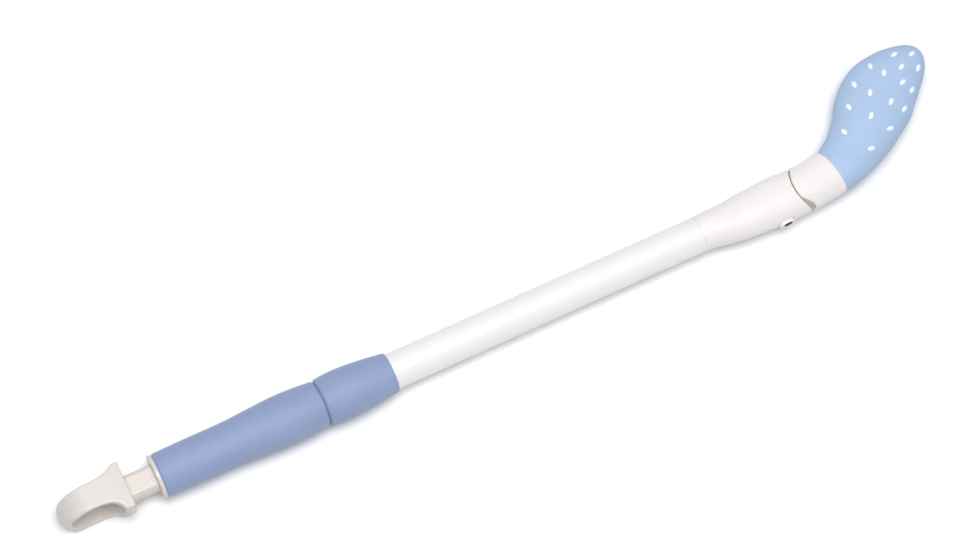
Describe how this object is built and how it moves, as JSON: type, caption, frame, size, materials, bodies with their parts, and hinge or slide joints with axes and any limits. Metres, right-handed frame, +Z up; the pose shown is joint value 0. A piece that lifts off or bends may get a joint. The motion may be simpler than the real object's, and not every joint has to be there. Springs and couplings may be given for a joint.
{
  "type": "toilet tissue aid",
  "caption": "Long-handled toilet tissue aid: tube handle with soft grips, finger-ring plunger, angled soft nubbed head with a rear tissue slot and ejector.",
  "frame": {"origin": "middle of the base: centre of the object's length and width, at the height of the lowest point, which is the side of the finger ring", "axes": "+X along the tube from the finger ring to the head; +Y the side the head bends to; +Z up out of the nubbed face, so the tissue slot faces down"},
  "size_m": [0.435, 0.0557, 0.0276],
  "materials": {
    "white_tube": "satin white coating",
    "grip_blue": "matt soft-touch elastomer",
    "boot_blue": "matt soft elastomer",
    "nub_white": "matt soft elastomer",
    "warm_white": "fine satin moulding",
    "cream": "fine satin moulding",
    "pad_black": "matt elastomer",
    "nylon": "natural nylon",
    "rod_alloy": "drawn",
    "steel": "bright drawn"
  },
  "bodies": {
    "handle": {"tube": "white_tube", "rear_grip": "grip_blue", "front_sleeve": "grip_blue", "end_cap": "cream", "end_cap_pins": "steel", "return_spring": "steel", "spring_stop": "nylon", "spring_stop_pins": "steel", "rod_guides": "nylon", "neck": "warm_white", "pivot_pins": "steel", "button_spring": "steel"},
    "plunger": {"ring_plunger": "cream", "push_rod": "rod_alloy", "rod_cross_pin": "steel", "cam_nose": "nylon", "cam_pin": "steel"},
    "release": {"release_button": "warm_white", "button_pad": "pad_black", "lock_bar": "nylon"},
    "head": {"collar": "warm_white", "core_front": "nylon", "core_back": "nylon", "core_screws": "steel", "head_boot": "boot_blue", "grip_nubs": "nub_white", "ejector_springs": "steel"},
    "ejector": {"ejector_blade": "nylon", "ejector_screws": "steel"}
  },
  "joints": [
    {"name": "plunger_slide", "type": "slide", "parent": "handle", "child": "plunger", "axis": [1, 0, 0], "range_m": [0, 0.012], "stiffness_N_per_m": 400, "springref_m": -0.008, "deforming": ["return_spring"]},
    {"name": "head_tilt", "type": "hinge", "parent": "handle", "child": "head", "pos_m": [0.1457, -0.0154, 0.0138], "axis": [0, 0, 1], "range_deg": [-18, 0]},
    {"name": "ejector_slide", "type": "slide", "parent": "head", "child": "ejector", "axis": [0, 0, -1], "range_m": [0, 0.0045], "stiffness_N_per_m": 120, "springref_m": -0.003, "deforming": ["ejector_springs"]},
    {"name": "release_press", "type": "slide", "parent": "handle", "child": "release", "axis": [0, 1, 0], "range_m": [0, 0.0012], "stiffness_N_per_m": 800, "springref_m": -0.001, "deforming": ["button_spring"]}
  ],
  "couplings": [
    {"joint": "ejector_slide", "follows": "plunger_slide", "ratio": 0.36397}
  ]
}
